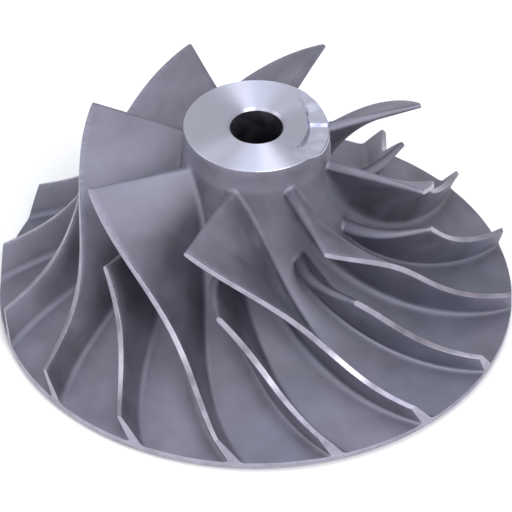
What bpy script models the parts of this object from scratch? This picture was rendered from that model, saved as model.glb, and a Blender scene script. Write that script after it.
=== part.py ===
# Turbocharger compressor wheel in cast aluminium: a hub that carries a nose, a back disc and a
# bore, with 8 full blades and 8 splitter blades round it. The wheel's axis is Z, its nose points
# up, and its back boss stands on Z = 0. Metres.
#
# The hub and each blade are solids of their own, with a thin gap between a blade's foot and the hub.

import math

import bmesh
import bpy
from mathutils import Vector

# Driving dimensions
WHEEL_RADIUS = 0.050
BORE_RADIUS = 0.0051
BORE_CHAMFER = 0.0003
BOSS_RADIUS = 0.0110
BOSS_HEIGHT = 0.0010
BOSS_TAPER = 0.0008
RIM_THICKNESS = 0.00105
NOSE_RADIUS = 0.0139
NOSE_HEIGHT = 0.0424
INLET_TIP_RADIUS = 0.0342
INLET_TIP_HEIGHT = 0.0373
INLET_HUB_RADIUS = 0.0142
INLET_HUB_HEIGHT = 0.0374
OUTLET_TIP_HEIGHT = 0.0065
# Heights above are measured from the underside of the rim.

FULL_BLADES = 8
FIRST_BLADE_ANGLE = math.radians(-68.9)
BLADE_WRAP = math.radians(60.5)
INLET_LEAN = math.radians(3.3)
OUTLET_RAKE = math.radians(4.1)

# A splitter's inlet edge lies in a flat plane, so it starts earlier at the hub than at the tip.
# Halfway up it is bowed towards smaller angles; the bow dies out at the rim.
SPLITTER_START_HUB = 0.266
SPLITTER_START_TIP = 0.366
SPLITTER_BOW = math.radians(4.3)

# A blade is thinner at its inlet edge, and swells to full thickness over the first part of its
# length. From root to tip it thins, by the power below.
TIP_THICKNESS = 0.00105
ROOT_THICKNESS = 0.0026
THINNING_POWER = 0.8
INLET_EDGE_SHARE = 0.8
SWELLING_LENGTH = 0.12

# The gap that is left under a blade's foot
FOOT_GAP = 0.0003

# How far the handles of the two meridional curves lie from their ends
TIP_HANDLE_IN = (0.00085, -0.0067)
TIP_HANDLE_OUT = (-0.0208, 0.0042)
HUB_HANDLE_IN = (-0.0008, -0.0180)
HUB_HANDLE_OUT = (-0.0220, 0.00415)

# How fast a blade turns round the axis at its two ends, in radians over its whole length
TIP_TURN_IN, TIP_TURN_OUT = math.radians(122.0), math.radians(27.0)
HUB_TURN_IN, HUB_TURN_OUT = math.radians(118.0), math.radians(49.0)

# Balance cut: two pockets milled side by side into the edge of the nose
CUT_INNER_RADIUS = 0.0098
CUT_ANGLES = (math.radians(-47.0), math.radians(9.0), math.radians(49.0))
CUT_DEPTHS = (0.0013, 0.0008)
CUTTER_REACH = 1.3
CUTTER_HEADROOM = 4

# Colour as linear light
METAL_COLOUR = (0.20, 0.19, 0.24, 1)
METAL_ROUGHNESS = 0.6

# How finely the curves are divided
HUB_STEPS = 72
HUB_POINTS = 15
BLADE_STATIONS = 15
STATION_CROWDING = 1.15
SPAN_LEVELS = 3
CUT_STEPS = 12
CURVE_STEPS = 200
NORMAL_STEP = 0.004
MERGE_DISTANCE = 1e-6
SMOOTH_BELOW = 35


def bezier(start, handle_in, handle_out, end, t):
    """A point of the curve whose handles are given as steps from its ends."""
    a, b = Vector(start), Vector(start) + Vector(handle_in)
    c, d = Vector(end) + Vector(handle_out), Vector(end)
    return (1 - t) ** 3 * a + 3 * (1 - t) ** 2 * t * b + 3 * (1 - t) * t**2 * c + t**3 * d


def even_curve(start, handle_in, handle_out, end):
    """A function from 0..1 to a point at that share of the curve's length."""
    points = [bezier(start, handle_in, handle_out, end, i / CURVE_STEPS) for i in range(CURVE_STEPS + 1)]
    lengths = [0.0]
    for a, b in zip(points, points[1:]):
        lengths.append(lengths[-1] + (b - a).length)

    def at(share):
        wanted = min(max(share, 0.0), 1.0) * lengths[-1]
        i = 1
        while i < CURVE_STEPS and lengths[i] < wanted:
            i += 1
        between = (wanted - lengths[i - 1]) / (lengths[i] - lengths[i - 1])
        return points[i - 1].lerp(points[i], between)

    return at


def turn(share, wrap, turn_in, turn_out):
    """The angle round the axis at a share of the blade's length: 0 at the inlet, wrap at the rim."""
    s = share
    return (s**3 - 2 * s**2 + s) * turn_in + (3 * s**2 - 2 * s**3) * wrap + (s**3 - s**2) * turn_out


def around(radius, angle, height):
    return Vector((radius * math.cos(angle), radius * math.sin(angle), height))


def above_boss(radius, height):
    return (radius, height + BOSS_HEIGHT)


hub_line = even_curve(
    above_boss(INLET_HUB_RADIUS, INLET_HUB_HEIGHT),
    HUB_HANDLE_IN,
    HUB_HANDLE_OUT,
    above_boss(WHEEL_RADIUS, RIM_THICKNESS),
)
tip_line = even_curve(
    above_boss(INLET_TIP_RADIUS, INLET_TIP_HEIGHT),
    TIP_HANDLE_IN,
    TIP_HANDLE_OUT,
    above_boss(WHEEL_RADIUS, OUTLET_TIP_HEIGHT),
)


def blade_point(share, span, base_angle, bow):
    """A point of the middle surface: on the straight line from hub to tip, swung back by the bow."""
    hub, tip = hub_line(share), tip_line(share)
    swing = bow * 4 * max(span, 0.0) * (1 - span) * (1 - share)
    hub_wrap = BLADE_WRAP + OUTLET_RAKE - INLET_LEAN
    hub_angle = base_angle - swing + INLET_LEAN + turn(share, hub_wrap, HUB_TURN_IN, HUB_TURN_OUT)
    tip_angle = base_angle - swing + turn(share, BLADE_WRAP, TIP_TURN_IN, TIP_TURN_OUT)
    root = around(hub[0], hub_angle, hub[1])
    crown = around(tip[0], tip_angle, tip[1])
    return root + (crown - root) * span


def blade_normal(share, span, base_angle, bow):
    """The direction across the blade, on the side that angles grow towards."""
    ahead = blade_point(min(share + NORMAL_STEP, 1.0), span, base_angle, bow)
    behind = blade_point(max(share - NORMAL_STEP, 0.0), span, base_angle, bow)
    outward = blade_point(share, 1.0, base_angle, bow) - blade_point(share, 0.0, base_angle, bow)
    across = (ahead - behind).cross(outward).normalized()
    point = blade_point(share, span, base_angle, bow)
    tangent = Vector((-point.y, point.x, 0))
    return across if across.dot(tangent) > 0 else -across


def hub_outline(gap=0.0):
    """The turned outline that the air sees, as radius and height, from the nose to the rim."""
    nose = Vector(above_boss(NOSE_RADIUS, NOSE_HEIGHT))
    points = [nose] + [hub_line(i / (HUB_POINTS - 1)) for i in range(HUB_POINTS)]
    outline = []
    for i, point in enumerate(points):
        along = (points[min(i + 1, len(points) - 1)] - points[max(i - 1, 0)]).normalized()
        outline.append(point + gap * Vector((-along.y, along.x)))
    return [tuple(point) for point in outline]


def hub_profile():
    """The whole closed outline, from the bore's mouth round to the bore's foot."""
    return [
        above_boss(BORE_RADIUS, NOSE_HEIGHT - BORE_CHAMFER),
        above_boss(BORE_RADIUS + BORE_CHAMFER, NOSE_HEIGHT),
        *hub_outline(),
        above_boss(WHEEL_RADIUS, 0),
        above_boss(BOSS_RADIUS + BOSS_TAPER, 0),
        (BOSS_RADIUS, 0),
        (BORE_RADIUS + BORE_CHAMFER, 0),
        (BORE_RADIUS, BORE_CHAMFER),
    ]


def clearance_profile():
    """The hub's outline grown by the gap under the blades, and closed well inside and past it."""
    outline = hub_outline(FOOT_GAP)
    past_rim = (WHEEL_RADIUS * 1.1, outline[-1][1])
    return [(BORE_RADIUS, outline[0][1]), *outline, past_rim, (past_rim[0], 0), (BORE_RADIUS, 0)]


def mesh_object(name, bm):
    bmesh.ops.recalc_face_normals(bm, faces=bm.faces)
    mesh = bpy.data.meshes.new(name)
    bm.to_mesh(mesh)
    bm.free()
    obj = bpy.data.objects.new(name, mesh)
    bpy.context.scene.collection.objects.link(obj)
    return obj


def turned(name, profile):
    bm = bmesh.new()
    outline = [bm.verts.new((radius, 0, height)) for radius, height in profile]
    edges = [bm.edges.new((a, b)) for a, b in zip(outline, outline[1:] + outline[:1])]
    bmesh.ops.spin(
        bm,
        geom=outline + edges,
        cent=(0, 0, 0),
        axis=(0, 0, 1),
        angle=2 * math.pi,
        steps=HUB_STEPS,
        use_merge=True,
    )
    bmesh.ops.remove_doubles(bm, verts=bm.verts, dist=MERGE_DISTANCE)
    return mesh_object(name, bm)


def blade_section(passed, start_hub, start_tip, bow, base_angle):
    """One closed loop across the blade: up one side from root to tip and down the other.

    The loop lies where this share of the blade has been passed, from its inlet edge to the rim.
    """
    swelling = min(1.0, INLET_EDGE_SHARE + (1 - INLET_EDGE_SHARE) * passed / SWELLING_LENGTH)
    root_share = start_hub + (1 - start_hub) * passed
    depth = -FOOT_GAP / (tip_line(root_share) - hub_line(root_share)).length
    sides = ([], [])
    for level in range(SPAN_LEVELS):
        span = depth + (1 - depth) * level / (SPAN_LEVELS - 1)
        start = start_hub + (start_tip - start_hub) * max(span, 0.0)
        share = start + (1 - start) * passed
        thickness = ROOT_THICKNESS + (TIP_THICKNESS - ROOT_THICKNESS) * max(span, 0.0) ** THINNING_POWER
        point = blade_point(share, span, base_angle, bow)
        half = blade_normal(share, span, base_angle, bow) * thickness * swelling / 2
        for side, corner in zip(sides, (point + half, point - half)):
            if passed == 1.0:
                corner.xy = corner.xy.normalized() * WHEEL_RADIUS
            side.append(corner)
    return sides[0] + sides[1][::-1]


def make_blade(name, base_angle, start_hub=0.0, start_tip=0.0, bow=0.0):
    stations = BLADE_STATIONS - math.floor(BLADE_STATIONS * start_tip)
    bm = bmesh.new()
    loops = []
    for i in range(stations):
        passed = (i / (stations - 1)) ** STATION_CROWDING
        section = blade_section(passed, start_hub, start_tip, bow, base_angle)
        loops.append([bm.verts.new(point) for point in section])
    for here, ahead in zip(loops, loops[1:]):
        for j in range(len(here)):
            k = (j + 1) % len(here)
            bm.faces.new((here[j], here[k], ahead[k], ahead[j]))
    for loop in (loops[0], loops[-1]):
        for j in range(SPAN_LEVELS - 1):
            bm.faces.new((loop[j], loop[j + 1], loop[-j - 2], loop[-j - 1]))
    return mesh_object(name, bm)


def make_cutter(name, first_angle, last_angle, depth):
    """A block in the shape of a ring's sector, over the edge of the nose."""
    bm = bmesh.new()
    floor = NOSE_HEIGHT + BOSS_HEIGHT - depth
    roof = floor + CUTTER_HEADROOM * depth
    columns = []
    for i in range(CUT_STEPS + 1):
        angle = first_angle + (last_angle - first_angle) * i / CUT_STEPS
        columns.append(
            [
                bm.verts.new(around(radius, angle, height))
                for radius, height in (
                    (CUT_INNER_RADIUS, floor),
                    (NOSE_RADIUS * CUTTER_REACH, floor),
                    (NOSE_RADIUS * CUTTER_REACH, roof),
                    (CUT_INNER_RADIUS, roof),
                )
            ]
        )
    for here, ahead in zip(columns, columns[1:]):
        for j in range(4):
            k = (j + 1) % 4
            bm.faces.new((here[j], here[k], ahead[k], ahead[j]))
    bm.faces.new(columns[0])
    bm.faces.new(columns[-1])
    return mesh_object(name, bm)


def cut_away(target, cutter):
    cutter.hide_render = True
    cutter.display_type = "WIRE"
    modifier = target.modifiers.new(cutter.name, "BOOLEAN")
    modifier.object = cutter
    modifier.operation = "DIFFERENCE"
    modifier.solver = "EXACT"


def finish(obj, material):
    obj.data.materials.append(material)
    obj.data.shade_smooth()
    obj.data.set_sharp_from_angle(angle=math.radians(SMOOTH_BELOW))


def cast_aluminium():
    material = bpy.data.materials.new("cast_aluminium")
    material.use_nodes = True
    shader = material.node_tree.nodes["Principled BSDF"]
    shader.inputs["Base Color"].default_value = METAL_COLOUR
    shader.inputs["Metallic"].default_value = 1.0
    shader.inputs["Roughness"].default_value = METAL_ROUGHNESS
    return material


def main():
    for obj in list(bpy.data.objects):
        bpy.data.objects.remove(obj)
    metal = cast_aluminium()
    hub = turned("hub", hub_profile())
    for i, depth in enumerate(CUT_DEPTHS):
        cutter = make_cutter(f"balance_cutter_{i + 1}", CUT_ANGLES[i], CUT_ANGLES[i + 1], depth)
        cut_away(hub, cutter)
    finish(hub, metal)

    clearance = turned("hub_clearance", clearance_profile())
    pitch = 2 * math.pi / FULL_BLADES
    for i in range(FULL_BLADES):
        angle = FIRST_BLADE_ANGLE + i * pitch
        number = i + 1
        for blade in (
            make_blade(f"full_blade_{number}", angle),
            make_blade(
                f"splitter_blade_{number}",
                angle + pitch / 2,
                SPLITTER_START_HUB,
                SPLITTER_START_TIP,
                SPLITTER_BOW,
            ),
        ):
            cut_away(blade, clearance)
            finish(blade, metal)


main()
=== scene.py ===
import math

import bpy
import numpy as np
from mathutils import Euler, Matrix, Vector


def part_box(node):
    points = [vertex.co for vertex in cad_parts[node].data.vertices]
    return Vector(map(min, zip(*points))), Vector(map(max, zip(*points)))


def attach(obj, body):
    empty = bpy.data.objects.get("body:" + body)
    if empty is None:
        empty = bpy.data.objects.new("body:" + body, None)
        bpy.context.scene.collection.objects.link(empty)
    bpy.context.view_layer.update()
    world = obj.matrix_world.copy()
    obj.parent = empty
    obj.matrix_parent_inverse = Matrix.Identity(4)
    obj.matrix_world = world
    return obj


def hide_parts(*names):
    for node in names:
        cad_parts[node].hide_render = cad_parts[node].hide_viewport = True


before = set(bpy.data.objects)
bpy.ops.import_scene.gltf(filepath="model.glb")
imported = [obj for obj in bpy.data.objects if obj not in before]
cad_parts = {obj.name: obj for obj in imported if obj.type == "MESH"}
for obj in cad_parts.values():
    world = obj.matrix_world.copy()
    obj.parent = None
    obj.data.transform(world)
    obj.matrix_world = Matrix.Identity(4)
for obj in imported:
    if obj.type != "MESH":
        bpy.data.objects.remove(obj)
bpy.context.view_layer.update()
bpy.ops.object.select_all(action="DESELECT")
print("frame loaded:", len(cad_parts), "nodes")

mm = 0.001
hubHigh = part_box("hub")[1]
wheelRadius = hubHigh.x
noseTop = hubHigh.z

# Heights here are above the floor: the back boss lifts the rim's underside by bossHeight.
bossHeight = 1.0 * mm
rimTop = bossHeight + 1.05 * mm

# The two outlines that the blades run between, as radius and height, from the inlet to the rim.
# Each has its two ends and the steps from them to the curve's handles.
hubCurve = {
    "start": (14.2 * mm, bossHeight + 37.4 * mm),
    "startHandle": (-0.8 * mm, -18.0 * mm),
    "endHandle": (-22.0 * mm, 4.15 * mm),
    "end": (wheelRadius, rimTop),
}
tipCurve = {
    "start": (34.2 * mm, bossHeight + 37.3 * mm),
    "startHandle": (0.85 * mm, -6.7 * mm),
    "endHandle": (-20.8 * mm, 4.2 * mm),
    "end": (wheelRadius, bossHeight + 6.5 * mm),
}
outlinePoints = 600


def between(pair, part):
    return pair[0] + (pair[1] - pair[0]) * part


def unit(vectors):
    return vectors / np.linalg.norm(vectors, axis=-1, keepdims=True)


# Points at these fractions of a line's length
def spacedAlong(points, fractions):
    lengths = np.concatenate([[0], np.cumsum(np.linalg.norm(np.diff(points, axis=0), axis=1))])
    wanted = np.asarray(fractions) * lengths[-1]
    return np.stack([np.interp(wanted, lengths, column) for column in points.T], -1)


# Evenly spaced points of a Bezier curve, as rows of radius and height
def evenCurve(curve):
    a, d = np.array(curve["start"]), np.array(curve["end"])
    b, c = a + np.array(curve["startHandle"]), d + np.array(curve["endHandle"])
    t = np.linspace(0, 1, outlinePoints)[:, None]
    points = (1 - t) ** 3 * a + 3 * (1 - t) ** 2 * t * b + 3 * (1 - t) * t**2 * c + t**3 * d
    return spacedAlong(points, t[:, 0])


hubLine = evenCurve(hubCurve)
tipLine = evenCurve(tipCurve)
shares = np.linspace(0, 1, outlinePoints)

# The nose is turned; its side swells a little to meet the cast hub. Growth of radius and depth, in mm.
noseRadius = 13.9 * mm
noseSide = ((0.02, 1.5), (0.06, 2.6), (0.11, 3.4), (0.17, 4.0), (0.22, 4.4), (0.26, 4.7), (0.28, 4.9))
noseLine = np.array([(noseRadius + grow * mm, noseTop - down * mm) for grow, down in noseSide])

# The whole skin that the blades' feet lie on: the nose's side, the hub, and a straight run past the rim
extraPoints = 60
noseFine = np.linspace(noseLine[0], noseLine[-1], extraPoints)
noseFine[:, 0] = np.interp(-noseFine[:, 1], -noseLine[:, 1], noseLine[:, 0])
runOut = hubLine[-1] + (hubLine[-1] - hubLine[-2]) * np.arange(1, extraPoints + 1)[:, None]
hubSkin = np.vstack([noseFine, hubLine, runOut])


# Radius and height at a share of an outline's length; a share below 0 or past 1 runs straight on
def along(line, share):
    share = np.asarray(share, float)
    inside = np.clip(share, 0, 1)
    point = np.stack([np.interp(inside, shares, line[:, k]) for k in (0, 1)], -1)
    slope = np.where(share[..., None] < 0.5, line[1] - line[0], line[-1] - line[-2]) * (len(line) - 1)
    return point + slope * (share - inside)[..., None]


blades = {
    "count": 8,
    "firstAngle": math.radians(-68.9),
    "wrap": math.radians(60.5),  # how far a blade's tip turns from inlet to rim
    "inletLean": math.radians(3.3),
    "outletRake": math.radians(4.1),
    "tipTurn": (math.radians(122), math.radians(27)),  # rate of turn at inlet and rim
    "hubTurn": (math.radians(118), math.radians(49)),
    "length": 45 * mm,  # about, along the tip
    # thickness in mm at these shares of the way from inlet to rim
    "thicknessAt": (0.0, 0.1, 0.25, 0.5, 0.75, 1.0),
    "tipThickness": (1.0, 0.98, 1.03, 1.12, 1.08, 0.87),
    "rootThickness": (2.2, 2.6, 2.8, 2.6, 2.2, 1.8),
    "noseLength": 0.65 * mm,
    "filletNose": 0.9 * mm,
    "filletFront": (1.0 * mm, 1.0 * mm),  # radius on the side that faces up, near the inlet and at the rim
    "filletBack": (3.2 * mm, 1.3 * mm),  # and on the side that faces down
    "filletShape": 0.6,  # below 1 the radius changes mostly near the inlet
    "filletGrow": 0.09,  # share of the blade over which the nose's fillet grows into the sides'
    "footStep": 0.2 * mm,
    "edgeRound": 0.07 * mm,
    "pastRim": 1.06,  # the sides are drawn to this share, and cut where they cross the rim
    "fineStations": 400,
    "crowding": 1.1,  # above 1 the stations stand closer near the inlet
    "noseSteps": 9,
    "tailSteps": 4,
    "filletSteps": 8,
    "spanSteps": 14,
    "sink": 0.15 * mm,
    "wearDepth": 0.35,  # in mm
}
# The inlet edges lie in flat planes: an edge runs from one share of the way at the hub to another at the tip.
# The bow is how far it bends towards smaller angles, and with a taper above 1 it thins mostly near the tip.
fullBlades = {"inletAt": (0.0, 0.0), "taper": 1.0, "bow": 0.0, "stations": 66}
splitterBlades = {"inletAt": (0.266, 0.366), "taper": 1.3, "bow": math.radians(3.6), "stations": 44}
bowLength = 0.68  # share of the way to the rim over which the bow dies out


# Angle at a share of the way, from the whole angle and the rates of turn at both ends
def turned(share, wrap, rates):
    early = share**3 - 2 * share**2 + share
    late = share**3 - share**2
    return early * rates[0] + (3 * share**2 - 2 * share**3) * wrap + late * rates[1]


# Points of the first blade's middle sheet: straight lines from the hub to the tip, or bowed ones
def bladeMiddle(share, span, bow=0.0):
    hub, tip = along(hubLine, share), along(tipLine, share)
    hubWrap = blades["wrap"] + blades["outletRake"] - blades["inletLean"]
    hubAngle = blades["inletLean"] + turned(share, hubWrap, blades["hubTurn"])
    tipAngle = turned(share, blades["wrap"], blades["tipTurn"])
    root = np.stack([hub[..., 0] * np.cos(hubAngle), hub[..., 0] * np.sin(hubAngle), hub[..., 1]], -1)
    crown = np.stack([tip[..., 0] * np.cos(tipAngle), tip[..., 0] * np.sin(tipAngle), tip[..., 1]], -1)
    x, y, z = np.moveaxis(root + (crown - root) * span[..., None], -1, 0)
    # the bow is deepest a third of the way up, where 27 / 4 makes it whole
    fading = np.clip((1 - share) / bowLength, 0, 1.2) ** 2
    swing = -bow * 27 / 4 * span * (1 - span) ** 2 * fading
    return np.stack([x * np.cos(swing) - y * np.sin(swing), x * np.sin(swing) + y * np.cos(swing), z], -1)


# Unit vectors along the blade and across it, the second towards growing angles
def bladeDirections(share, span, bow):
    shareStep, spanStep = 0.004, 0.02
    ahead = bladeMiddle(share + shareStep, span, bow) - bladeMiddle(share - shareStep, span, bow)
    above = bladeMiddle(share, np.clip(span + spanStep, 0, 1), bow)
    outward = above - bladeMiddle(share, np.clip(span - spanStep, 0, 1), bow)
    across = unit(np.cross(outward, ahead))
    point = bladeMiddle(share, span, bow)
    tangent = np.stack([-point[..., 1], point[..., 0], np.zeros(point.shape[:-1])], -1)
    return unit(ahead), across * np.sign((across * tangent).sum(-1, keepdims=True))


# Moves points to the nearest place on the hub's surface, or that far under it
def ontoHub(points, sink=0.0):
    radius = np.linalg.norm(points[..., :2], axis=-1)
    flat = np.stack([radius, points[..., 2]], -1)
    nearest = np.argmin(((flat[..., None, :] - hubSkin) ** 2).sum(-1), axis=-1)
    step = np.gradient(hubSkin, axis=0)
    forward = unit(step)[nearest]
    normal = unit(np.stack([-step[:, 1], step[:, 0]], -1))[nearest]
    place = hubSkin[nearest]
    place = place + forward * ((flat - place) * forward).sum(-1, keepdims=True) - normal * sink
    scale = place[..., 0] / radius
    return np.stack([points[..., 0] * scale, points[..., 1] * scale, place[..., 1]], -1)


# Points at these fractions of a line that runs past the rim, measured up to where it crosses it
def cutAtRim(points, fractions):
    radius = np.linalg.norm(points[:, :2], axis=1)
    last = int(np.argmax(radius > wheelRadius))
    part = (wheelRadius - radius[last - 1]) / (radius[last] - radius[last - 1])
    crossing = points[last - 1] + (points[last] - points[last - 1]) * part
    return spacedAlong(np.vstack([points[:last], crossing]), fractions)


# The blade's skin as rows of closed rings, from under its foot to the middle of its tip
def bladePoints(kind):
    b = blades
    edge = b["edgeRound"]
    start = kind["inletAt"][1]
    noseBack = start + b["noseLength"] / b["length"]
    fine = np.linspace(noseBack, b["pastRim"], b["fineStations"])
    fractions = np.linspace(0, 1, kind["stations"]) ** b["crowding"]
    phi = np.radians(np.linspace(90, -90, b["noseSteps"] + 2))[1:-1]
    # smooth curves through the thicknesses
    thickRoot = np.poly1d(np.polyfit(b["thicknessAt"], b["rootThickness"], 4))
    thickTip = np.poly1d(np.polyfit(b["thicknessAt"], b["tipThickness"], 4))

    # moves a share that is true at the tip to where the inlet edge's slope puts it at a lower span
    def leant(share, span):
        return 1 - (1 - share) * (1 - between(kind["inletAt"], span)) / (1 - start)

    # Points of the skin at a height above the hub, and the way it faces. On the sides lateral is 1 or -1 and
    # ahead is 0; round the nose they are its sine and cosine.
    def skin(height, share, lateral, ahead, inset=0.0):
        foot = bladeMiddle(leant(share, 0), np.zeros_like(share))
        length = np.linalg.norm(bladeMiddle(share, np.ones_like(share)) - foot, axis=-1)
        span = np.clip(height(length) / length, 0, 1)
        share = leant(share, span)
        forward, across = bladeDirections(share, span, kind["bow"])
        inside = np.clip(share, 0, 1)
        thick = between((thickRoot(inside) * mm, thickTip(inside) * mm), span ** kind["taper"])
        point = bladeMiddle(share, span, kind["bow"]) + across * (lateral * (thick / 2 - inset))[:, None]
        point += forward * (ahead * (b["noseLength"] - inset))[:, None]
        facing = across * (lateral / thick * 2)[:, None] + forward * (ahead / b["noseLength"])[:, None]
        return point, unit(facing + 1e-9)  # never quite zero on the middle lines

    # one closed ring: rim to inlet along one side, round the nose, back, and over the tail
    def ring(place):
        sides = [place(fine, np.full(len(fine), side), np.zeros(len(fine))) for side in (1.0, -1.0)]
        sides = [cutAtRim(line, fractions) for line in sides]
        nose = place(np.full(len(phi), noseBack), np.sin(phi), -np.cos(phi))
        ends = (sides[1][-1], sides[0][-1])
        tail = np.array([between(ends, k / b["tailSteps"]) for k in range(1, b["tailSteps"])])
        tail[:, :2] *= wheelRadius / np.linalg.norm(tail[:, :2], axis=1)[:, None]
        return np.vstack([sides[0][::-1], nose, sides[1], tail])

    def filletRadius(share, lateral):
        late = np.clip(share, 0, 1) ** b["filletShape"]
        full = between((between(b["filletBack"], late), between(b["filletFront"], late)), (1 + lateral) / 2)
        grown = np.clip((share - noseBack) / b["filletGrow"], 0, 1)
        return between((b["filletNose"], full), grown**2 * (3 - 2 * grown))

    # a level of the root fillet, u being 0 at its top on the blade and 1 at its edge on the hub
    def filletAt(u):
        def place(share, lateral, ahead):
            radius = filletRadius(share, lateral)
            upper, facing = skin(lambda length: radius, share, lateral, ahead)
            corner = ontoHub(skin(lambda length: 0 * length, share, lateral, ahead)[0])
            spread = unit(ontoHub(corner + facing * b["footStep"]) - corner)
            foot = ontoHub(corner + spread * radius[:, None])
            return (1 - u) ** 2 * upper + 2 * (1 - u) * u * corner + u**2 * foot

        return place

    # a level of the blade's side, part being 0 at the fillet's top and 1 where the tip's edge starts
    def sideAt(part):
        def place(share, lateral, ahead):
            low = filletRadius(share, lateral)
            return skin(lambda length: between((low, length - edge), part), share, lateral, ahead)[0]

        return place

    # a level at any height; with a width of 0 it is the blade's middle line
    def levelAt(height, inset=0.0, width=1.0):
        return lambda share, lateral, ahead: skin(height, share, width * lateral, ahead, inset)[0]

    # keeps points that lie under the hub's surface inside the rim, too
    def tuckUnder(points, depth):
        points = ontoHub(points, depth)
        inward = 1 - 2 * b["sink"] / wheelRadius
        points[np.linalg.norm(points[:, :2], axis=1) > wheelRadius * inward, :2] *= inward
        return points

    rows = [ring(filletAt(1 - k / b["filletSteps"])) for k in range(b["filletSteps"] + 1)]
    rows += [ring(sideAt(k / b["spanSteps"])) for k in range(1, b["spanSteps"] + 1)]
    for turn in np.radians((30, 60, 90)):
        drop, inset = edge * (1 - np.sin(turn)), edge * (1 - np.cos(turn))
        rows.append(ring(levelAt(lambda length: length - drop, inset)))
    rows.append(ring(levelAt(lambda length: length, 1.5 * edge)))
    # The tip's middle line, and the foot tucked under the hub's surface, close the two ends.
    # The line stops short of the flat tip's front.
    rows.append(ring(levelAt(lambda length: length, 3 * edge, 0)))
    tucked = tuckUnder(rows[0], 2 * b["sink"])
    middle = tuckUnder(ring(levelAt(lambda length: 0 * length, width=0)), 3 * b["sink"])
    return np.array([middle, tucked] + rows)


# Works on the whole of the active mesh: joins doubled points and turns its faces outward
def closeUp(mergeDistance=0.0):
    bpy.ops.object.mode_set(mode="EDIT")
    bpy.ops.mesh.select_all(action="SELECT")
    if mergeDistance:
        bpy.ops.mesh.remove_doubles(threshold=mergeDistance)
    bpy.ops.mesh.normals_make_consistent(inside=False)
    bpy.ops.object.mode_set(mode="OBJECT")


# A sheet of squares, wrapped round the blade's rings and closed at its tip and foot
def makeBlade(name, kind):
    rows = bladePoints(kind)
    levels, around = rows.shape[:2]
    # the sheet's first and last columns meet, so it has one column more than a ring has points
    bpy.ops.mesh.primitive_grid_add(x_subdivisions=around, y_subdivisions=levels - 1, size=1)
    blade = bpy.context.active_object
    blade.name = name
    mesh = blade.data
    flat = np.empty(len(mesh.vertices) * 3, np.float32)
    mesh.vertices.foreach_get("co", flat)
    flat = flat.reshape(-1, 3)
    column = np.rint((flat[:, 0] + 0.5) * around).astype(int) % around
    row = np.rint((flat[:, 1] + 0.5) * (levels - 1)).astype(int)
    mesh.vertices.foreach_set("co", rows[row, column].astype(np.float32).ravel())
    # how rubbed the skin is: most at the tip's edges, fading down the sides
    depth = np.linalg.norm(rows - rows[-2], axis=-1)[row, column] / mm
    wear = mesh.attributes.new("wear", "FLOAT", "POINT")
    wear.data.foreach_set("value", np.exp(-depth / blades["wearDepth"]).astype(np.float32))
    # the tip is the last five rows, and the tail the columns after both sides and the nose
    tipRow, tailColumn = levels - 5, 2 * kind["stations"] + blades["noseSteps"]
    for face in mesh.polygons:
        onTip = all(row[k] >= tipRow for k in face.vertices)
        onTail = all(column[k] >= tailColumn - 1 or column[k] == 0 for k in face.vertices)
        face.material_index = 1 if onTip or onTail else 0
    closeUp(0.002 * mm)
    return blade


# A colour written as sRGB hex, turned to linear
def sRgb(code):
    parts = [int(code[k : k + 2], 16) / 255 for k in (1, 3, 5)]
    return tuple(c / 12.92 if c <= 0.04045 else ((c + 0.055) / 1.055) ** 2.4 for c in parts) + (1.0,)


# Sets a node's properties and its sockets, which take a value or a link
def fillNode(tree, node, values):
    for key, value in values.items():
        if isinstance(value, bpy.types.NodeSocket):
            tree.links.new(value, node.inputs[key])
        elif isinstance(key, str) and key in node.bl_rna.properties:
            setattr(node, key, value)
        else:
            node.inputs[key].default_value = value


# Adds a node and gives one of its outputs
def addNode(tree, kind, values, output=0):
    node = tree.nodes.new(kind)
    fillNode(tree, node, values)
    return node.outputs[output]


# Settings that map the values from low to high onto others
def mapped(low, high, newLow=0.0, newHigh=1.0):
    return {"From Min": low, "From Max": high, "To Min": newLow, "To Max": newHigh}


# Colours laid one over another, each by its own share, in the mix node's colour sockets
def layered(tree, base, layers):
    tone = sRgb(base)
    for share, colour in layers:
        tone = addNode(tree, "ShaderNodeMix", {"data_type": "RGBA", 0: share, 6: tone, 7: sRgb(colour)}, 2)
    return tone


def newMaterial(name):
    material = bpy.data.materials.new(name)
    material.use_nodes = True
    return material, material.node_tree, material.node_tree.nodes["Principled BSDF"]


# Cast aluminium, bead blasted: matt grey with a violet cast, clouded, with pinholes and a pebbled skin.
# Sizes are in metres; the light tone shows where handling has rubbed the edges.
castFinish = {
    "dark": "#797580",
    "light": "#918e9d",
    "cool": "#767d8c",
    "coolShare": 0.45,
    "rubbed": "#a9a8ba",
    "pinhole": "#55525f",
    "cloud": 7 * mm,
    "wash": 26 * mm,
    "grain": 0.8 * mm,
    "pinholeSpacing": 1.1 * mm,
    "pebble": 0.35 * mm,
    "pebbleHeight": 0.03 * mm,
    "waveHeight": 0.06 * mm,
    "roughness": (0.58, 0.7),
}


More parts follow.
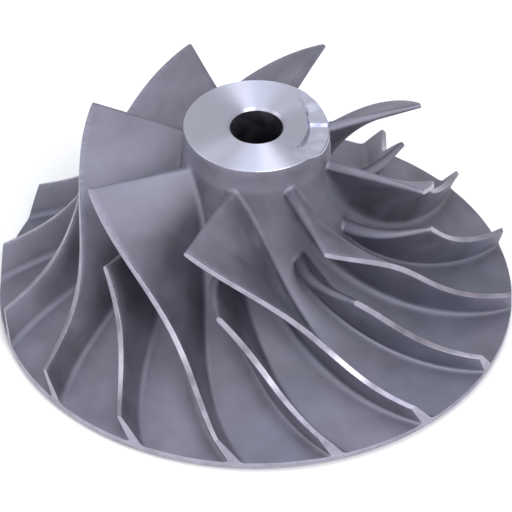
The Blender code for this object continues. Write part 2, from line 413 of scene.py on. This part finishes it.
def makeCastAluminium():
    f = castFinish
    material, tree, shader = newMaterial("beadBlastedCastAluminium")
    place = addNode(tree, "ShaderNodeTexCoord", {}, "Object")
    cloud, wash, grain, pebble = (
        addNode(tree, "ShaderNodeTexNoise", {"Vector": place, "Scale": 1 / f[size], "Detail": detail})
        for size, detail in (("cloud", 5.0), ("wash", 1.0), ("grain", 3.0), ("pebble", 4.0))
    )
    clouds = addNode(tree, "ShaderNodeMapRange", {"Value": cloud, **mapped(0.3, 0.7)})
    washes = addNode(tree, "ShaderNodeMapRange", {"Value": wash, **mapped(0.35, 0.7, 0.0, f["coolShare"])})
    # pinholes, only where the clouds are light
    cells = addNode(tree, "ShaderNodeTexVoronoi", {"Vector": place, "Scale": 1 / f["pinholeSpacing"]})
    dots = addNode(tree, "ShaderNodeMapRange", {"Value": cells, **mapped(0.1, 0.04)})
    where = addNode(tree, "ShaderNodeMapRange", {"Value": cloud, **mapped(0.5, 0.62)})
    pinholes = addNode(tree, "ShaderNodeMath", {"operation": "MULTIPLY", 0: dots, 1: where})
    # rubbed edges, broken up by the grain
    wear = addNode(tree, "ShaderNodeAttribute", {"attribute_name": "wear"}, "Fac")
    broken = addNode(tree, "ShaderNodeMapRange", {"Value": grain, **mapped(0.3, 0.75)})
    rubbed = addNode(tree, "ShaderNodeMath", {"operation": "MULTIPLY", 0: wear, 1: broken})
    layers = (clouds, f["light"]), (washes, f["cool"]), (pinholes, f["pinhole"]), (rubbed, f["rubbed"])
    rough = addNode(tree, "ShaderNodeMapRange", {"Value": cloud, **mapped(0.3, 0.7, *f["roughness"])})
    waves = addNode(tree, "ShaderNodeBump", {"Strength": 0.6, "Distance": f["waveHeight"], "Height": cloud})
    pebbles = {"Strength": 0.5, "Distance": f["pebbleHeight"], "Height": pebble, "Normal": waves}
    bump = addNode(tree, "ShaderNodeBump", pebbles)
    tone = layered(tree, f["dark"], layers)
    fillNode(tree, shader, {"Base Color": tone, "Roughness": rough, "Normal": bump, "Metallic": 1.0})
    return material


# Aluminium faced on a lathe: bright rings too fine to see one by one, which spread light into wedges
turnedFinish = {
    "bright": "#cbcbdb",
    "dull": "#c4c5d6",
    "ring": 0.35 * mm,
    "ringHeight": 0.01 * mm,
    "smudge": 5 * mm,
    "roughness": 0.46,
    "anisotropic": 0.9,
    "quarterTurn": 0.25,  # turns the spread of light from across the rings to along them
}


def makeTurnedAluminium():
    f = turnedFinish
    material, tree, shader = newMaterial("turnedAluminium")
    place = addNode(tree, "ShaderNodeTexCoord", {}, "Object")
    flat = addNode(tree, "ShaderNodeVectorMath", {"operation": "MULTIPLY", 0: place, 1: (1, 1, 0)})
    radius = addNode(tree, "ShaderNodeVectorMath", {"operation": "LENGTH", 0: flat}, "Value")
    byRadius = {"noise_dimensions": "1D", "W": radius, "Scale": 1 / f["ring"], "Detail": 3.0}
    rings = addNode(tree, "ShaderNodeTexNoise", byRadius)
    smudge = addNode(tree, "ShaderNodeTexNoise", {"Vector": place, "Scale": 1 / f["smudge"], "Detail": 3.0})
    both = addNode(tree, "ShaderNodeMath", {"operation": "ADD", 0: rings, 1: smudge})
    share = addNode(tree, "ShaderNodeMapRange", {"Value": both, **mapped(0.7, 1.3)})
    grooves = {"Strength": 0.3, "Distance": f["ringHeight"], "Height": rings}
    surface = {
        "Base Color": layered(tree, f["dull"], ((share, f["bright"]),)),
        "Normal": addNode(tree, "ShaderNodeBump", grooves),
        "Tangent": addNode(tree, "ShaderNodeTangent", {"direction_type": "RADIAL", "axis": "Z"}),
        "Metallic": 1.0,
        "Roughness": f["roughness"],
        "Anisotropic": f["anisotropic"],
        "Anisotropic Rotation": f["quarterTurn"],
    }
    fillNode(tree, shader, surface)
    return material


# Aluminium ground to size at the blades' tips and the rim: smoother than the cast skin and a little rosy,
# so that it glints where it curves. On the hub's bore and the balance cut's walls its darker tone is painted
# shade.
groundFinish = {
    "bright": "#aaa6b4",
    "dull": "#8f8a98",
    "patch": 3 * mm,
    "scratch": 0.15 * mm,
    "roughness": (0.3, 0.42),
}
# Aluminium milled bright, in the balance cut
milledFinish = {
    "bright": "#d3d5e6",
    "dull": "#bfc1d4",
    "patch": 2.5 * mm,
    "scratch": 0.2 * mm,
    "roughness": (0.3, 0.4),
}
scratchHeight = 0.01 * mm


def makeCutAluminium(name, f):
    material, tree, shader = newMaterial(name)
    place = addNode(tree, "ShaderNodeTexCoord", {}, "Object")
    patch = addNode(tree, "ShaderNodeTexNoise", {"Vector": place, "Scale": 1 / f["patch"], "Detail": 4.0})
    share = addNode(tree, "ShaderNodeMapRange", {"Value": patch, **mapped(0.3, 0.7)})
    tone = layered(tree, f["dull"], ((share, f["bright"]),))
    rough = addNode(tree, "ShaderNodeMapRange", {"Value": patch, **mapped(0.3, 0.7, *f["roughness"])})
    scratch = addNode(tree, "ShaderNodeTexNoise", {"Vector": place, "Scale": 1 / f["scratch"], "Detail": 2.0})
    bump = addNode(tree, "ShaderNodeBump", {"Strength": 0.3, "Distance": scratchHeight, "Height": scratch})
    fillNode(tree, shader, {"Base Color": tone, "Roughness": rough, "Normal": bump, "Metallic": 1.0})
    return material


castAluminium = makeCastAluminium()
turnedAluminium = makeTurnedAluminium()
groundAluminium = makeCutAluminium("groundAluminium", groundFinish)
milledAluminium = makeCutAluminium("milledAluminium", milledFinish)
print("materials made")


hub = {
    "segments": 288,
    "curvePoints": 44,
    "boreRadius": 5.1 * mm,
    "boreChamfer": 0.5 * mm,
    "noseEdge": 0.15 * mm,
    "rimEdge": 0.05 * mm,
    "bossRadius": 11.0 * mm,
    "bossTaper": 0.8 * mm,
}


# Points of a circular arc in the outline's plane, angles in degrees
def arc(centre, radius, first, last, steps=4):
    angles = [math.radians(first + (last - first) * k / steps) for k in range(steps + 1)]
    return [(centre[0] + radius * math.cos(a), centre[1] + radius * math.sin(a)) for a in angles]


# Radius and height, from the bore's mouth over the nose, down the hub, round the rim and under the back
def hubOutline():
    bore, chamfer = hub["boreRadius"], hub["boreChamfer"]
    edge, rim = hub["noseEdge"], hub["rimEdge"]
    outline = [(bore, noseTop - chamfer), (bore + chamfer, noseTop)]
    outline += arc((noseRadius - edge, noseTop - edge), edge, 90, 10)
    outline += [tuple(point) for point in noseLine]
    outline += [tuple(along(hubLine, k / hub["curvePoints"])) for k in range(hub["curvePoints"])]
    outline += arc((wheelRadius - rim, rimTop - rim), rim, 90, 0, 3)
    outline += arc((wheelRadius - rim, bossHeight + rim), rim, 0, -90, 3)
    outline += [(hub["bossRadius"] + hub["bossTaper"], bossHeight), (hub["bossRadius"], 0)]
    return outline + [(bore + chamfer, 0), (bore, chamfer)]


# Spins the whole of the active mesh round the axis; a positive angle turns clockwise
def spinRound(steps, angle):
    bpy.ops.object.mode_set(mode="EDIT")
    bpy.ops.mesh.select_all(action="SELECT")
    bpy.ops.mesh.spin(steps=steps, angle=angle, center=(0, 0, 0), axis=(0, 0, 1))
    bpy.ops.object.mode_set(mode="OBJECT")


def makeHub():
    outline = hubOutline()
    bpy.ops.mesh.primitive_circle_add(vertices=len(outline), radius=1, fill_type="NOTHING")
    body = bpy.context.active_object
    body.name = "hubBody"
    for vertex, (radius, height) in zip(body.data.vertices, outline):
        vertex.co = (radius, 0, height)
    spinRound(hub["segments"], 2 * math.pi)
    closeUp(0.001 * mm)
    return body


# The balance cut: a pocket milled into the nose's right edge, in a deep and a shallow part.
# The profile is radius and depth of the milling path's section, for a floor one deep; angles in degrees.
balanceCut = {
    "profile": (
        (9.7, -1.0), (9.7, -0.02), (9.78, 0.12), (9.86, 0.4), (10.0, 0.66), (10.2, 0.85), (10.45, 0.96),
        (10.75, 1.0), (12.0, 1.0), (13.45, 1.0), (13.68, 1.06), (13.86, 1.2), (13.96, 1.42), (15.5, 1.5),
        (15.5, -1.0),
    ),
    "outerRadius": 15.5,
    # angle, depth in mm and inner radius in mm, along each part
    "front": (
        (-50.5, 0.0, 10.3), (-47, 0.12, 10.2), (-42, 0.42, 10.0), (-38, 0.72, 9.8), (-32, 1.1, 9.7),
        (-26, 1.34, 9.7), (-18, 1.4, 9.7), (8, 1.4, 9.7),
    ),
    "back": (
        (0, 0.95, 9.7), (20, 0.95, 10.0), (26, 0.9, 10.5), (35, 0.42, 10.8), (40.5, 0.46, 11.2),
        (49.5, 0.0, 11.4),
    ),
    "stepAcross": 1.85,  # the step between the two parts runs straight, this far in mm behind the axis
    "stepDegrees": 1.5,
    "reach": 2.2 * mm,  # all its faces lie nearer to the nose's face than this
    "rampsBehind": 4.5 * mm,  # the back ramps lie past this distance behind the axis
}


def selectOnly(piece):
    bpy.ops.object.select_all(action="DESELECT")
    piece.select_set(True)
    bpy.context.view_layer.objects.active = piece


# Sweeps the profile round the axis, bends it along the path, and takes it out of the body
def cutPocket(body, path, straightEnd=False):
    c = balanceCut
    profile, outer = c["profile"], c["outerRadius"]
    first, last = path[0][0], path[-1][0]
    steps = max(2, round((last - first) / c["stepDegrees"]))
    bpy.ops.mesh.primitive_circle_add(vertices=len(profile), radius=1, fill_type="NGON")
    cutter = bpy.context.active_object
    start = math.radians(last)  # the spin runs back from the last angle
    for vertex, (radius, depth) in zip(cutter.data.vertices, profile):
        vertex.co = (radius * mm * math.cos(start), radius * mm * math.sin(start), noseTop - depth * mm)
    spinRound(steps, math.radians(last - first))
    angles, depths, inners = zip(*path)
    for vertex in cutter.data.vertices:
        angle = math.degrees(math.atan2(vertex.co.y, vertex.co.x))
        if straightEnd:
            across = math.degrees(math.asin(c["stepAcross"] * mm / math.hypot(vertex.co.x, vertex.co.y)))
            swing = (angle - first) * (across - last) / (last - first)
            vertex.co.rotate(Euler((0, 0, math.radians(swing))))
        radius = math.hypot(vertex.co.x, vertex.co.y) / mm
        depth = (noseTop - vertex.co.z) / mm
        inner = float(np.interp(angle, angles, inners))
        wanted = outer - (outer - radius) * (outer - inner) / (outer - profile[0][0])
        vertex.co.x *= wanted / radius
        vertex.co.y *= wanted / radius
        if depth > 0:
            vertex.co.z = noseTop - depth * float(np.interp(angle, angles, depths)) * mm
        elif depth > -0.1:
            vertex.co.z = noseTop + 0.02 * mm  # the profile's upper corner stays just clear of the face
    closeUp()
    selectOnly(body)
    cut = body.modifiers.new("cut", "BOOLEAN")
    cut.operation = "DIFFERENCE"
    cut.solver = "EXACT"
    cut.object = cutter
    bpy.ops.object.modifier_apply(modifier="cut")
    bpy.data.objects.remove(cutter)


smoothBelow = math.radians(32)


# Smooth shading, and the piece's finishes; faces take the number that finishAt gives
def shadeAndColour(piece, finishes, finishAt=None):
    for finish in finishes:
        piece.data.materials.append(finish)
    if finishAt:
        for face in piece.data.polygons:
            face.material_index = finishAt(face.center, face.normal)
    selectOnly(piece)
    bpy.ops.object.shade_smooth_by_angle(angle=smoothBelow)


# 0 cast, 1 rim, back and bore, and painted shade on the pocket's walls and in the bore, 2 turned nose, 3
# milled pocket
def hubFinish(centre, normal):
    radius = math.hypot(centre.x, centre.y)
    belowNose = noseTop - balanceCut["reach"] < centre.z < noseTop - 0.01 * mm
    if belowNose and centre.x > 0 and radius > hub["boreRadius"] + 1 * mm:
        if radius > noseRadius - 0.1 * mm:
            return 3 if normal.z > 0.15 else 0
        # the pocket's walls are milled like its floor: those facing the camera keep the bright milled finish,
        # the rest take the darker finish 1 as painted shade
        return 3 if normal.z > 0.7 or normal.y < -0.8 else 1
    # the bore's walls take the darker finish 1: a bored surface, with painted shade deep in the bore
    if centre.z > noseTop - hub["noseEdge"] or radius < hub["boreRadius"] + hub["boreChamfer"]:
        return 2 if abs(normal.z) > 0.1 else 1
    return 1 if radius > wheelRadius - hub["rimEdge"] or centre.z < bossHeight + 0.001 * mm else 0


hubBody = makeHub()
cutPocket(hubBody, balanceCut["front"], straightEnd=True)
cutPocket(hubBody, balanceCut["back"])
closeUp(0.001 * mm)  # the cuts leave slivers that are too small to see
shadeAndColour(hubBody, (castAluminium, groundAluminium, turnedAluminium, milledAluminium), hubFinish)
for face in hubBody.data.polygons:
    # the ramps at the back of the pocket keep their crisp edges
    if face.material_index == 3 and face.normal.z > 0.9 and face.center.y > balanceCut["rampsBehind"]:
        face.use_smooth = False
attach(hubBody, "root")
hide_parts("hub")
print("hub made")


# Copies the pattern blade round the axis, each copy with its own mesh
def placeBlades(pattern, label, node, offset):
    pitch = 2 * math.pi / blades["count"]
    for k in range(blades["count"]):
        blade = pattern.copy()
        blade.data = pattern.data.copy()
        bpy.context.scene.collection.objects.link(blade)
        blade.name = f"{label}{k + 1}"
        blade.data.transform(Matrix.Rotation(blades["firstAngle"] + offset + k * pitch, 4, "Z"))
        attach(blade, "root")
        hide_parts(f"{node}_{k + 1}")
    bpy.data.objects.remove(pattern)


fullPattern = makeBlade("fullPattern", fullBlades)
shadeAndColour(fullPattern, (castAluminium, groundAluminium))
placeBlades(fullPattern, "fullBlade", "full_blade", 0.0)
splitterPattern = makeBlade("splitterPattern", splitterBlades)
shadeAndColour(splitterPattern, (castAluminium, groundAluminium))
placeBlades(splitterPattern, "splitterBlade", "splitter_blade", math.pi / blades["count"])
print("blades made")


# The stage: a pale floor, a soft world and studio lights
stage = {
    "floorSize": 4.0,
    "floorColour": "#f4f4f6",
    "world": "#ffffff",
    "worldStrength": 0.73,
    # height and compass angle in degrees, watts and colour of the softboxes round the wheel
    "softboxes": (
        (90, 0, 2.6, "#e6f0ff"),
        (40, 300, 6.6, "#ffffff"),
        (40, 180, 1.7, "#ffffff"),
        (15, 240, 2.1, "#ffffff"),
    ),
    "boxSize": 0.55,
    "boxDistance": 1.0,
    "aimHeight": 20 * mm,
}


def makeFloor():
    bpy.ops.mesh.primitive_plane_add(size=stage["floorSize"], location=(0, 0, 0))
    floor = bpy.context.active_object
    floor.name = "floor"
    material, tree, shader = newMaterial("palePaperFloor")
    fillNode(tree, shader, {"Base Color": sRgb(stage["floorColour"]), "Roughness": 0.9})
    floor.data.materials.append(material)


def makeWorld():
    world = bpy.data.worlds.new("studio")
    world.use_nodes = True
    background = world.node_tree.nodes["Background"]
    background.inputs["Color"].default_value = sRgb(stage["world"])
    background.inputs["Strength"].default_value = stage["worldStrength"]
    bpy.context.scene.world = world


# A square area light that looks at the wheel
def addSoftbox(height, compass, watts, colour):
    light = bpy.data.lights.new("softbox", "AREA")
    light.shape = "SQUARE"
    light.size = stage["boxSize"]
    light.energy = watts
    light.color = sRgb(colour)[:3]
    holder = bpy.data.objects.new("softbox", light)
    upright, around = math.radians(height), math.radians(compass)
    level = math.cos(upright)
    away = Vector((math.cos(around) * level, math.sin(around) * level, math.sin(upright)))
    holder.location = Vector((0, 0, stage["aimHeight"])) + away * stage["boxDistance"]
    holder.rotation_euler = (-away).to_track_quat("-Z", "Y").to_euler()
    bpy.context.scene.collection.objects.link(holder)


# The photograph's camera: a long lens, about 40 degrees above the rim's plane
view = {
    "place": (0, -744.3 * mm, 644.2 * mm),
    "pitch": -0.7051,
    "roll": 0.0038,
    "lens": 353.6,
    "sensor": 36,
}


def makeCamera():
    camera = bpy.data.cameras.new("camera")
    camera.lens = view["lens"]
    camera.sensor_width = view["sensor"]
    camera.clip_start = 0.01
    holder = bpy.data.objects.new("camera", camera)
    look = Euler((math.pi / 2 + view["pitch"], 0, 0)).to_matrix() @ Matrix.Rotation(view["roll"], 3, "Z")
    holder.matrix_world = Matrix.Translation(view["place"]) @ look.to_4x4()
    bpy.context.scene.collection.objects.link(holder)
    bpy.context.scene.camera = holder


makeFloor()
makeWorld()
for height, compass, watts, colour in stage["softboxes"]:
    addSoftbox(height, compass, watts, colour)
makeCamera()
bpy.context.scene.view_settings.view_transform = "Standard"
print("stage set")
